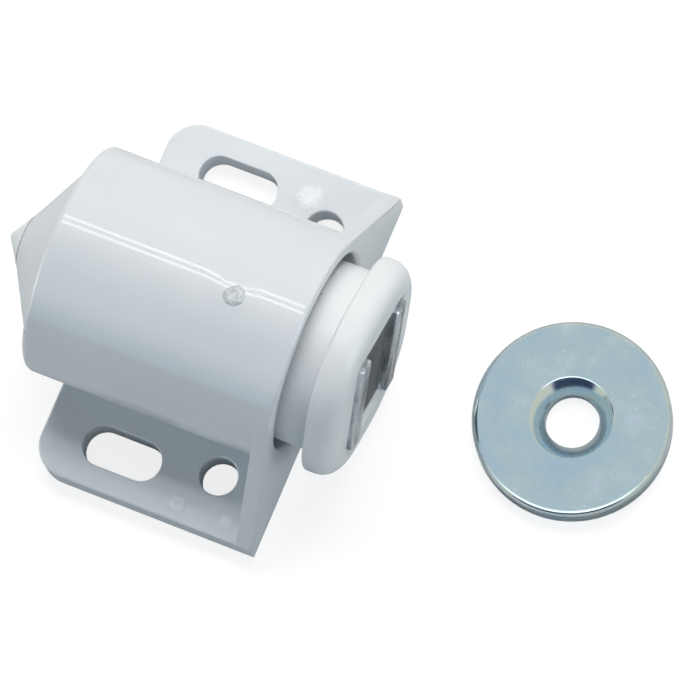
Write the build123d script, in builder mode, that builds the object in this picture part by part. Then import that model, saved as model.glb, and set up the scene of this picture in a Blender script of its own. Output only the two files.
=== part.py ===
from build123d import *
from math import acos, atan2, cos, degrees, hypot, radians, sin
import os

os.makedirs("parts", exist_ok=True)

# Magnetic touch latch with its strike disc. Millimetres.
# X runs along the barrel towards the plunger, Z is up from the mounting face.
# The origin lies on the mounting face, midway between the two round screw holes.

# overall layout
flange_width = 40.0
flange_length = 25.0
flange_thick = 3.2
screw_hole_setback = 6.1
front_x = screw_hole_setback
flange_rear_x = front_x - flange_length

# barrel
barrel_r = 12.2
axis_z = barrel_r
barrel_length = 27.4
barrel_wall = 1.3
barrel_rear_x = front_x - barrel_length
bore_r = barrel_r - barrel_wall
lip_thick = 1.65
lip_x = front_x - lip_thick
lip_step = 0.35
mouth_r = bore_r - lip_step
mouth_round = 0.5
rear_round = 0.7

# front web
web_thick = 1.65
web_round = 0.45
web_root_round = 0.5
web_back_x = front_x - web_thick

# screw holes and slots
screw_hole_r = 2.0
screw_spacing = 28.0
slot_width = 4.3
slot_length = 8.6
slot_setback = 16.35
slot_spacing = 30.8
flange_corner_r = 3.5
flange_edge_round = 0.3

# plunger
neck_clearance = 0.91
neck_r = mouth_r - neck_clearance
neck_reach = 3.1
head_overhang = 1.16
head_half = neck_r + head_overhang
head_flat_half = 1.8
head_corner_r = head_half - head_flat_half
head_thick = 3.3
head_front_round = 2.2
head_back_round = 0.3
head_turn = 60.0
head_back_x = front_x + neck_reach
head_front_x = head_back_x + head_thick
travel_out = 8.0
travel_in = 2.8
stop_clearance = 0.35
collar_fit = 0.08
collar_r = bore_r - collar_fit
collar_length = 7.0
collar_front_x = lip_x - travel_out - stop_clearance
collar_rear_x = collar_front_x - collar_length
sleeve_wall = 1.64
sleeve_inner_r = neck_r - sleeve_wall
pocket_floor = 1.6

# magnet and pole plates
magnet_thick = 7.0
magnet_width = 12.0
magnet_edge = 0.25
magnet_depth = 5.4
plate_thick = 2.15
plate_proud = 0.5
magnet_sink = 1.0
plate_edge = 0.15
pocket_gap = 0.1
pocket_corner_r = 0.4
pocket_lead = 0.45
pocket_width = magnet_width + 2 * pocket_gap
pocket_height = magnet_thick + 2 * plate_thick + 2 * pocket_gap
plate_front_x = head_front_x + plate_proud
magnet_front_x = plate_front_x - magnet_sink
pocket_floor_x = magnet_front_x - magnet_depth
sleeve_floor_x = pocket_floor_x - pocket_floor

# index rotor and its retainer
rotor_fit = 0.08
rotor_seat_wall = 1.92
rotor_seat_r = collar_r - rotor_seat_wall
rotor_r = rotor_seat_r - rotor_fit
rotor_ring_width = 3.42
rotor_inner_r = rotor_r - rotor_ring_width
rotor_length = 2.4
rotor_end_gap = 0.1
rotor_seat_depth = 2.5
rotor_seat_x = collar_front_x - rotor_seat_depth
rotor_front_x = rotor_seat_x - rotor_end_gap
rotor_rear_x = rotor_front_x - rotor_length
lug_count = 4
lug_width = 2.0
lug_slant = 0.8
lug_root = 0.6
retainer_clearance = 1.0
retainer_grip = 0.02
retainer_front_x = rotor_rear_x - rotor_end_gap
detent_depth = 0.3

# cam spindle
cam_gap = 0.4
cam_r = rotor_inner_r - cam_gap
crown_height = 1.8
stem_r = cam_r - crown_height
lug_clearance = 0.3
lug_tip_gap = 0.5
lug_inner_r = stem_r + lug_tip_gap
retainer_inner_r = cam_r + retainer_clearance
cam_rear_x = rotor_front_x + lug_clearance
cam_end_gap = 0.5
cam_front_x = sleeve_floor_x - travel_in - cam_end_gap
cam_end_chamfer = 0.6
groove_width = 2.6
notch_depth = 1.4
notch_low = 0.4
push_crown_x = rotor_rear_x - travel_in - lug_clearance
push_crown_length = 4.0
push_tooth_depth = 1.3
push_tooth_half = 1.7
push_tooth_count = 8
cut_over = 1.0
foot_step = 3.1
foot_r = cam_r + foot_step
foot_thick = 1.0
tip_r = 2.85
tip_length = 1.8
tip_end_r = 0.25

# end cap
cap_fit = 0.05
cap_r = bore_r - cap_fit
cap_reach = 4.9
cap_wall = 1.45
cap_inner_r = cap_r - cap_wall
cap_lead = 0.8
cap_lead_depth = 0.4
cone_length = 4.8
cone_end_r = 2.6
cap_wall_x = 1.3
tail_hole_r = 2.0
tail_gap = 0.1
tail_r = tail_hole_r - tail_gap
cap_rear_x = barrel_rear_x - cone_length
cap_cone_step = 0.4
cap_cone_inner_x = barrel_rear_x + cap_cone_step
cap_end_inner_x = cap_rear_x + cap_wall_x
seat_gap = 0.03

# spring
wire_d = 0.9
spring_stand_off = 2.0
spring_r = cam_r + spring_stand_off
closed_turns = 1.0
open_turns = 4.0
coil_gap = 0.05
closed_pitch = wire_d + coil_gap

# strike disc
disc_r = 10.25
disc_thick = 3.0
disc_top_round = 0.8
disc_bottom_round = 0.2
sink_r = 4.3
disc_hole_r = 2.8
disc_distance = 25.2
disc_x = front_x + disc_distance
disc_y = 4.9


def across(x):
    """Plane square to the barrel at x, centred on its axis."""
    return Plane(origin=(x, 0, axis_z), x_dir=(0, 1, 0), z_dir=(1, 0, 0))


def radial(x, angle):
    """Plane through the axis point at x that faces outward at the angle; its own x runs along the barrel."""
    return Plane(
        origin=(x, 0, axis_z), x_dir=(1, 0, 0), z_dir=(0, cos(radians(angle)), sin(radians(angle)))
    )


# Housing: barrel, flanged base and front web in one moulding
corner_y = flange_width / 2
corner_z = flange_thick - axis_z
corner_reach = hypot(corner_y, corner_z)
tangent_angle = degrees(atan2(corner_z, corner_y)) + degrees(acos(barrel_r / corner_reach))
tangent_y = barrel_r * cos(radians(tangent_angle))
tangent_z = barrel_r * sin(radians(tangent_angle))

with BuildPart() as housing:
    with BuildSketch(Plane.XY):
        with Locations(((front_x + flange_rear_x) / 2, 0)):
            Rectangle(flange_length, flange_width)
    extrude(amount=flange_thick)
    fillet(housing.edges().filter_by(Axis.Z).group_by(Axis.X)[0], flange_corner_r)
    plate_rim = housing.edges().group_by(Axis.Z)[-1]
    fillet(plate_rim.filter_by(lambda e: e.center().X < front_x - 0.001), flange_edge_round)
    with BuildSketch(across(barrel_rear_x)):
        Circle(barrel_r)
    extrude(amount=barrel_length)
    with BuildSketch(across(web_back_x)):
        with BuildLine():
            Polyline(
                (-corner_y, -axis_z), (corner_y, -axis_z), (corner_y, corner_z), (tangent_y, tangent_z),
                (-tangent_y, tangent_z), (-corner_y, corner_z), close=True,
            )
        make_face()
    extrude(amount=web_thick)
    with BuildSketch(Plane.XZ):
        with BuildLine():
            Line((web_back_x, flange_thick + web_root_round), (web_back_x, flange_thick))
            Line((web_back_x, flange_thick), (web_back_x - web_root_round, flange_thick))
            RadiusArc(
                (web_back_x - web_root_round, flange_thick),
                (web_back_x, flange_thick + web_root_round),
                -web_root_round,
            )
        make_face()
    extrude(amount=corner_y - web_root_round, both=True)
    with BuildSketch(across(barrel_rear_x)):
        Circle(bore_r)
    extrude(amount=barrel_length - lip_thick, mode=Mode.SUBTRACT)
    with BuildSketch(across(lip_x)):
        Circle(mouth_r)
    extrude(amount=lip_thick, mode=Mode.SUBTRACT)
    with BuildSketch(Plane.XY):
        with Locations((0, screw_spacing / 2), (0, -screw_spacing / 2)):
            Circle(screw_hole_r)
        with Locations((front_x - slot_setback, slot_spacing / 2), (front_x - slot_setback, -slot_spacing / 2)):
            SlotOverall(slot_length, slot_width)
    extrude(amount=flange_thick, mode=Mode.SUBTRACT)
    front_edges = housing.edges().filter_by_position(Axis.X, front_x - 0.001, front_x + 0.001)
    fillet(front_edges.filter_by(GeomType.CIRCLE).filter_by(lambda e: e.radius < mouth_r + 0.01), mouth_round)
    rear_edges = housing.edges().filter_by_position(Axis.X, barrel_rear_x - 0.001, barrel_rear_x + 0.001)
    fillet(rear_edges.filter_by(GeomType.CIRCLE).filter_by(lambda e: e.radius > barrel_r - 0.01), rear_round)
    front_edges = housing.edges().filter_by_position(Axis.X, front_x - 0.001, front_x + 0.001)
    fillet(front_edges.filter_by(lambda e: e.bounding_box().min.Z > flange_thick - 0.01), web_round)

# End cap: the cone that plugs the barrel, with a spigot inside the bore
with BuildPart() as end_cap:
    with BuildSketch(Plane.XZ):
        with BuildLine():
            Polyline(
                (barrel_rear_x + cap_reach, axis_z + cap_inner_r),
                (barrel_rear_x + cap_reach, axis_z + cap_r - cap_lead_depth),
                (barrel_rear_x + cap_reach - cap_lead, axis_z + cap_r),
                (barrel_rear_x, axis_z + cap_r),
                (cap_rear_x, axis_z + cone_end_r),
                (cap_rear_x, axis_z + tail_hole_r),
                (cap_end_inner_x, axis_z + tail_hole_r),
                (cap_cone_inner_x, axis_z + cap_inner_r),
                close=True,
            )
        make_face()
    revolve(axis=Axis((0, 0, axis_z), (1, 0, 0)))

# Cam spindle: fixed stem with two crowns of slanted teeth, a conical foot and a pointed tail
cone_slope = (cap_inner_r - tail_hole_r) / (cap_cone_inner_x - cap_end_inner_x)
foot_rear_x = cap_cone_inner_x - (cap_inner_r - foot_r) / cone_slope + seat_gap
foot_front_x = foot_rear_x + foot_thick
with BuildPart() as cam_spindle:
    with BuildSketch(Plane.XZ):
        with BuildLine():
            Polyline(
                (cap_rear_x - tip_length, axis_z),
                (cap_rear_x - tip_length, axis_z + tip_end_r),
                (cap_rear_x - seat_gap, axis_z + tip_r),
                (cap_rear_x - seat_gap, axis_z + tail_r),
                (cap_end_inner_x + seat_gap, axis_z + tail_r),
                (foot_rear_x, axis_z + foot_r),
                (foot_front_x, axis_z + foot_r),
                (foot_front_x, axis_z + cam_r),
                (push_crown_x, axis_z + cam_r),
                (push_crown_x, axis_z + stem_r),
                (cam_rear_x, axis_z + stem_r),
                (cam_rear_x, axis_z + cam_r),
                (cam_front_x - cam_end_chamfer, axis_z + cam_r),
                (cam_front_x, axis_z + cam_r - cam_end_chamfer),
                (cam_front_x, axis_z),
                close=True,
            )
        make_face()
    revolve(axis=Axis((0, 0, axis_z), (1, 0, 0)))
    for k in range(lug_count):
        turn = 360 / lug_count * k
        with BuildSketch(radial(cam_rear_x, turn)):
            with BuildLine():
                Polyline(
                    (0, -groove_width / 2), (cam_front_x - cam_rear_x, -groove_width / 2),
                    (cam_front_x - cam_rear_x, groove_width / 2), (lug_slant * 1.5, groove_width / 2),
                    (0, groove_width / 2 + lug_slant * 1.5), close=True,
                )
            make_face()
        extrude(amount=cam_r + cut_over, mode=Mode.SUBTRACT)
        with BuildSketch(radial(cam_rear_x, turn + 180 / lug_count)):
            with BuildLine():
                Polyline(
                    (0, -groove_width / 2), (notch_depth, -groove_width / 2),
                    (notch_low, groove_width / 2), (0, groove_width / 2), close=True,
                )
            make_face()
        extrude(amount=cam_r + cut_over, mode=Mode.SUBTRACT)
    for k in range(push_tooth_count):
        with BuildSketch(radial(push_crown_x, 360 / push_tooth_count * (k + 0.5))):
            with BuildLine():
                Polyline(
                    (0, -push_tooth_half), (-push_tooth_depth, -push_tooth_half), (0, push_tooth_half), close=True
                )
            make_face()
        extrude(amount=cam_r + cut_over, mode=Mode.SUBTRACT)
    with BuildSketch(across(push_crown_x - push_tooth_depth)):
        Circle(stem_r)
    extrude(amount=cam_front_x - push_crown_x + push_tooth_depth)

# Spring: closed at both ends, between the spindle's foot and the plunger's retainer
spring_length = collar_rear_x - foot_front_x - 2 * seat_gap
spring_bottom_x = foot_front_x + seat_gap + wire_d / 2
open_height = spring_length - wire_d - 2 * closed_turns * closed_pitch
coil_start = across(spring_bottom_x).location
first_turn = Helix(closed_pitch, closed_turns * closed_pitch, spring_r)
open_coil = Pos(0, 0, closed_turns * closed_pitch) * Helix(open_height / open_turns, open_height, spring_r)
last_turn = Pos(0, 0, closed_turns * closed_pitch + open_height) * first_turn
with BuildPart() as spring:
    with BuildLine() as coil_path:
        add([coil_start * first_turn, coil_start * open_coil, coil_start * last_turn])
    with BuildSketch(Plane(origin=coil_path.wire() @ 0, z_dir=coil_path.wire() % 0)):
        Circle(wire_d / 2)
    sweep(path=coil_path.wire(), is_frenet=True)

# Plunger: head with the magnet pocket, neck, and a collar that guides it in the bore
with BuildPart() as plunger:
    with BuildSketch(across(head_back_x)):
        RectangleRounded(2 * head_half, 2 * head_half, head_corner_r, rotation=head_turn)
    extrude(amount=head_thick)
    fillet(plunger.edges().group_by(Axis.X)[-1], head_front_round)
    fillet(plunger.edges().group_by(Axis.X)[0], head_back_round)
    with BuildSketch(across(collar_rear_x)):
        Circle(neck_r)
    extrude(amount=head_back_x + head_back_round - collar_rear_x)
    with BuildSketch(across(collar_rear_x)):
        Circle(collar_r)
    extrude(amount=collar_length)
    with BuildSketch(across(pocket_floor_x)):
        RectangleRounded(pocket_width, pocket_height, pocket_corner_r, rotation=head_turn)
    extrude(amount=head_front_x - pocket_floor_x, mode=Mode.SUBTRACT)
    with BuildSketch(across(head_front_x)):
        RectangleRounded(
            pocket_width + 2 * pocket_lead, pocket_height + 2 * pocket_lead, pocket_corner_r + pocket_lead,
            rotation=head_turn,
        )
    extrude(amount=-pocket_lead, taper=45, mode=Mode.SUBTRACT)
    with BuildSketch(across(collar_rear_x)):
        Circle(rotor_seat_r)
    extrude(amount=rotor_seat_x - collar_rear_x, mode=Mode.SUBTRACT)
    with BuildSketch(across(rotor_seat_x)):
        Circle(sleeve_inner_r)
    extrude(amount=sleeve_floor_x - rotor_seat_x, mode=Mode.SUBTRACT)

# Magnet block
with BuildPart() as magnet:
    with BuildSketch(across(pocket_floor_x)):
        Rectangle(magnet_width, magnet_thick, rotation=head_turn)
    extrude(amount=magnet_depth)
    chamfer(magnet.edges().group_by(Axis.X)[-1], magnet_edge)

# Pole plates: one on each broad side of the magnet
plate_offset = (magnet_thick + plate_thick) / 2
stack_y = -sin(radians(head_turn)) * plate_offset
stack_z = cos(radians(head_turn)) * plate_offset
with BuildPart() as pole_plate_upper:
    with BuildSketch(across(pocket_floor_x)):
        with Locations((stack_y, stack_z)):
            RectangleRounded(magnet_width, plate_thick, plate_edge * 2, rotation=head_turn)
    extrude(amount=plate_front_x - pocket_floor_x)
    fillet(pole_plate_upper.edges().group_by(Axis.X)[-1], plate_edge)

with BuildPart() as pole_plate_lower:
    with BuildSketch(across(pocket_floor_x)):
        with Locations((-stack_y, -stack_z)):
            RectangleRounded(magnet_width, plate_thick, plate_edge * 2, rotation=head_turn)
    extrude(amount=plate_front_x - pocket_floor_x)
    fillet(pole_plate_lower.edges().group_by(Axis.X)[-1], plate_edge)

# Index rotor: ring with inward lugs that run in the spindle's grooves
with BuildPart() as index_rotor:
    with BuildSketch(across(rotor_rear_x)):
        Circle(rotor_r)
        Circle(rotor_inner_r, mode=Mode.SUBTRACT)
    extrude(amount=rotor_length)
    for k in range(lug_count):
        with BuildSketch(radial(rotor_rear_x, 360 / lug_count * k)):
            with BuildLine():
                Polyline(
                    (lug_slant, -lug_width / 2), (rotor_length, -lug_width / 2),
                    (rotor_length - lug_slant, lug_width / 2), (0, lug_width / 2), close=True,
                )
            make_face()
        extrude(amount=rotor_inner_r + lug_root)
    with BuildSketch(across(rotor_rear_x)):
        Circle(lug_inner_r)
    extrude(amount=rotor_length, mode=Mode.SUBTRACT)

# Rotor retainer: ring that closes the rotor's seat and carries the spring's thrust
with BuildPart() as rotor_retainer:
    with BuildSketch(across(collar_rear_x)):
        Circle(rotor_seat_r - retainer_grip)
        Circle(retainer_inner_r, mode=Mode.SUBTRACT)
    extrude(amount=retainer_front_x - collar_rear_x)
    chamfer(rotor_retainer.edges().filter_by(GeomType.CIRCLE).sort_by(lambda e: e.radius)[-2:], detent_depth)

# Strike disc: plated steel, countersunk, lying beside the latch
with BuildPart() as strike_disc:
    with BuildSketch(Plane.XY):
        with Locations((disc_x, disc_y)):
            Circle(disc_r)
    extrude(amount=disc_thick)
    fillet(strike_disc.edges().group_by(Axis.Z)[-1], disc_top_round)
    fillet(strike_disc.edges().group_by(Axis.Z)[0], disc_bottom_round)
    with Locations((disc_x, disc_y, disc_thick)):
        CounterSinkHole(disc_hole_r, sink_r, disc_thick, counter_sink_angle=90)

housing.part.label = "housing"
end_cap.part.label = "end_cap"
cam_spindle.part.label = "cam_spindle"
spring.part.label = "spring"
plunger.part.label = "plunger"
magnet.part.label = "magnet"
pole_plate_upper.part.label = "pole_plate_upper"
pole_plate_lower.part.label = "pole_plate_lower"
index_rotor.part.label = "index_rotor"
rotor_retainer.part.label = "rotor_retainer"
strike_disc.part.label = "strike_disc"

export_step(housing.part, "parts/housing.step")
export_step(end_cap.part, "parts/end_cap.step")
export_step(cam_spindle.part, "parts/cam_spindle.step")
export_step(spring.part, "parts/spring.step")
export_step(plunger.part, "parts/plunger.step")
export_step(magnet.part, "parts/magnet.step")
export_step(pole_plate_upper.part, "parts/pole_plate_upper.step")
export_step(pole_plate_lower.part, "parts/pole_plate_lower.step")
export_step(index_rotor.part, "parts/index_rotor.step")
export_step(rotor_retainer.part, "parts/rotor_retainer.step")
export_step(strike_disc.part, "parts/strike_disc.step")
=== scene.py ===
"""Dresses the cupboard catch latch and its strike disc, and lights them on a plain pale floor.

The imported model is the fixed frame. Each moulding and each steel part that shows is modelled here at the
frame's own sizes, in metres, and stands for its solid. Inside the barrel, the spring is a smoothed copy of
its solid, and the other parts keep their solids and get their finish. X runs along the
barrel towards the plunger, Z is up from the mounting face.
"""

import logging
import math
from collections.abc import Callable, Iterator
from contextlib import contextmanager
from dataclasses import dataclass, field
from enum import Enum

import bpy
from mathutils import Matrix, Vector

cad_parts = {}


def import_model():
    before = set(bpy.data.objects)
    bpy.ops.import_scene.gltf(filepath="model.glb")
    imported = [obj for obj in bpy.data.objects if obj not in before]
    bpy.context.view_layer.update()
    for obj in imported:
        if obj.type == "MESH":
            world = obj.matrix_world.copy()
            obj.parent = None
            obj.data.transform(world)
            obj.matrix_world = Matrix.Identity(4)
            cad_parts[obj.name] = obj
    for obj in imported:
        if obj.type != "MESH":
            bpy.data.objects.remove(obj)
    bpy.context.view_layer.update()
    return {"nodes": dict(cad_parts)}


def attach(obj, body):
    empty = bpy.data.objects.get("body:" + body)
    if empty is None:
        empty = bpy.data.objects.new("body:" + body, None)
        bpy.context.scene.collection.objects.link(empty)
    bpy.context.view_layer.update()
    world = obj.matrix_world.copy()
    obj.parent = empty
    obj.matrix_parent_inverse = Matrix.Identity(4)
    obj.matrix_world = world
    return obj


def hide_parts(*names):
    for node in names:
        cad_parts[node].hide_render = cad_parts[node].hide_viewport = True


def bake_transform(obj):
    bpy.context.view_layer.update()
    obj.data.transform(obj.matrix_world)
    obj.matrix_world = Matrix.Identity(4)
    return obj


LOG = logging.getLogger("cupboard_catch")
MM = 0.001
TOUCH = 1e-6
MERGE = 0.002 * MM
CUT_OVER = 1.0 * MM

Colour = tuple[float, float, float]
Place = tuple[float, float, float]
Piece = bpy.types.Object
Socket = bpy.types.NodeSocket
Inputs = dict[str | int, Socket | float | tuple[float, ...]]


class Slot(Enum):
    """The record's material slots."""

    HOUSING = "housing_plastic"
    PLUNGER = "plunger_plastic"
    INNER = "inner_plastic"
    MAGNET = "magnet"
    POLE = "pole_steel"
    DISC = "disc_steel"
    SPRING = "spring_steel"


class Cut(Enum):
    """What a boolean does to its target."""

    JOIN = "UNION"
    REMOVE = "DIFFERENCE"


# The few moves that every piece is modelled with


def deselect() -> None:
    """Leaves nothing selected and nothing active."""
    if bpy.context.mode != "OBJECT":
        bpy.ops.object.mode_set(mode="OBJECT")
    bpy.ops.object.select_all(action="DESELECT")
    bpy.context.view_layer.objects.active = None


def take(piece: Piece) -> None:
    """Selects one piece alone and makes it active.

    Args:
        piece: The object to work on.
    """
    deselect()
    piece.select_set(True)
    bpy.context.view_layer.objects.active = piece


def name_new(name: str) -> Piece:
    """Names the primitive that was just added.

    Args:
        name: The piece's name.

    Returns:
        The new object, which sits at the origin.
    """
    piece = bpy.context.active_object
    rename(piece, name)
    take(piece)
    bpy.ops.object.transform_apply(location=True, rotation=True, scale=True)
    return piece


def rename(piece: Piece, name: str) -> None:
    """Names a piece and its mesh.

    Args:
        piece: The piece.
        name: Its name.
    """
    piece.name = name
    piece.data.name = name


@contextmanager
def editing(piece: Piece) -> Iterator[None]:
    """Opens a piece's mesh with all of it selected, and closes it at the end.

    Args:
        piece: The piece.

    Yields:
        Nothing.
    """
    take(piece)
    bpy.ops.object.mode_set(mode="EDIT")
    bpy.ops.mesh.select_all(action="SELECT")
    yield
    bpy.ops.object.mode_set(mode="OBJECT")


def box(name: str, middle: Vector, size: Place) -> Piece:
    """Models a box.

    Args:
        name: The piece's name.
        middle: Its middle.
        size: Its lengths along X, Y and Z.

    Returns:
        The box.
    """
    deselect()
    bpy.ops.mesh.primitive_cube_add(size=1, location=middle, scale=size)
    return name_new(name)


def traced(name: str, points: list[Vector]) -> Piece:
    """Draws a closed line of edges by extruding one vertex from point to point.

    Args:
        name: The piece's name.
        points: The points in order, in metres.

    Returns:
        The new object, an edge line at its true place.
    """
    deselect()
    bpy.ops.mesh.primitive_plane_add(size=MM, location=points[0])
    piece = name_new(name)
    bpy.ops.object.mode_set(mode="EDIT")
    bpy.ops.mesh.select_mode(type="VERT")
    bpy.ops.mesh.select_all(action="SELECT")
    bpy.ops.mesh.merge(type="CENTER")
    for start, end in zip(points, points[1:]):
        bpy.ops.mesh.extrude_region_move(TRANSFORM_OT_translate={"value": tuple(end - start)})
    bpy.ops.object.mode_set(mode="OBJECT")
    ends = [v for edge in piece.data.edges for v in edge.vertices]
    for vertex in piece.data.vertices:
        vertex.select = ends.count(vertex.index) == 1
    bpy.ops.object.mode_set(mode="EDIT")
    bpy.ops.mesh.edge_face_add()
    bpy.ops.object.mode_set(mode="OBJECT")
    return piece


def turned(
    name: str, profile: list[tuple[float, float]], centre: Vector, axis: Vector, steps: int
) -> Piece:
    """Turns a profile round an axis, as on a lathe.

    Args:
        name: The piece's name.
        profile: Pairs of distance along the axis and radius, in metres.
        centre: The point that the distances count from.
        axis: Unit vector of the axis.
        steps: How many steps make the full turn.

    Returns:
        The new object with its faces outward.
    """
    side = axis.orthogonal().normalized()
    piece = traced(name, [centre + axis * along + side * radius for along, radius in profile])
    with editing(piece):
        bpy.ops.mesh.spin(steps=steps, angle=2 * math.pi, center=centre, axis=axis)
        bpy.ops.mesh.select_all(action="SELECT")
        bpy.ops.mesh.remove_doubles(threshold=MERGE)
        bpy.ops.mesh.normals_make_consistent(inside=False)
    return piece


def prism(name: str, outline: list[Vector], depth: Vector) -> Piece:
    """Fills an outline and pulls it along a depth.

    Args:
        name: The piece's name.
        outline: The corners in order, in metres.
        depth: How far and which way the face is pulled.

    Returns:
        The new object with its faces outward.
    """
    piece = traced(name, outline)
    with editing(piece):
        bpy.ops.mesh.edge_face_add()
        bpy.ops.mesh.extrude_region_move(TRANSFORM_OT_translate={"value": tuple(depth)})
        bpy.ops.mesh.select_all(action="SELECT")
        bpy.ops.mesh.normals_make_consistent(inside=False)
    return piece


def arc(
    centre: Vector, first: Vector, second: Vector, start: float, end: float, steps: int
) -> list[Vector]:
    """Points on an arc.

    Args:
        centre: The arc's centre.
        first: Radius vector at 0 degrees.
        second: Radius vector at 90 degrees.
        start: First angle in degrees.
        end: Last angle in degrees.
        steps: How many steps lie between them.

    Returns:
        The points, ends included.
    """
    angles = [math.radians(start + (end - start) * k / steps) for k in range(steps + 1)]
    return [centre + first * math.cos(a) + second * math.sin(a) for a in angles]


def quarter(centre: tuple[float, float], along: float, out: float, steps: int) -> list[tuple[float, float]]:
    """Points of a profile on a quarter of a circle.

    Args:
        centre: The circle's centre, as distance along the axis and radius.
        along: The circle's radius, with the sign that the distance changes by.
        out: The same radius, with the sign that the radius changes by.
        steps: How many steps lie between the ends.

    Returns:
        The points, from the one straight out of the centre to the one straight along from it.
    """
    angles = [math.pi / 2 * k / steps for k in range(steps + 1)]
    return [(centre[0] + along * math.sin(a), centre[1] + out * math.cos(a)) for a in angles]


def apply_boolean(target: Piece, tool: Piece, cut: Cut) -> None:
    """Joins a tool to a target or cuts it out, and deletes the tool.

    Args:
        target: The piece that stays.
        tool: The piece that is used up.
        cut: What is done.
    """
    take(target)
    step = target.modifiers.new("boolean", "BOOLEAN")
    step.object = tool
    step.operation = cut.value
    step.solver = "EXACT"
    bpy.ops.object.modifier_apply(modifier=step.name)
    bpy.data.objects.remove(tool, do_unlink=True)


def smooth(piece: Piece, angle: float = 30.0) -> None:
    """Shades a piece smooth up to an angle, with large flats kept flat.

    Args:
        piece: The piece to shade.
        angle: The sharpest angle in degrees that is shaded smooth.
    """
    take(piece)
    bpy.ops.object.shade_smooth_by_angle(angle=math.radians(angle))
    step = piece.modifiers.new("weighted", "WEIGHTED_NORMAL")
    step.mode = "FACE_AREA"
    step.keep_sharp = True
    step.weight = 60
    bpy.ops.object.modifier_apply(modifier=step.name)


def round_edges(
    piece: Piece, wanted: Callable[[Vector, Vector], bool], width: float, segments: int
) -> None:
    """Rounds the edges that a test picks by their two ends.

    Args:
        piece: The piece.
        wanted: Says of two end points whether their edge counts.
        width: The rounding's width in metres.
        segments: Its steps.
    """
    take(piece)
    bpy.ops.object.mode_set(mode="EDIT")
    bpy.ops.mesh.select_mode(type="EDGE")
    bpy.ops.mesh.select_all(action="DESELECT")
    bpy.ops.object.mode_set(mode="OBJECT")
    mesh = piece.data
    for edge in mesh.edges:
        edge.select = wanted(*(mesh.vertices[v].co for v in edge.vertices))
    bpy.ops.object.mode_set(mode="EDIT")
    bpy.ops.mesh.bevel(offset=width, segments=segments, affect="EDGES")
    bpy.ops.object.mode_set(mode="OBJECT")


def runs_along(a: Vector, b: Vector) -> bool:
    """Whether an edge runs along the barrel for over a millimetre."""
    return abs(a.x - b.x) > 1 * MM


# Finishes


def white(strength: float = 1.0) -> tuple[float, float, float, float]:
    """A neutral colour with its alpha."""
    return (strength, strength, strength, 1.0)


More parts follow.
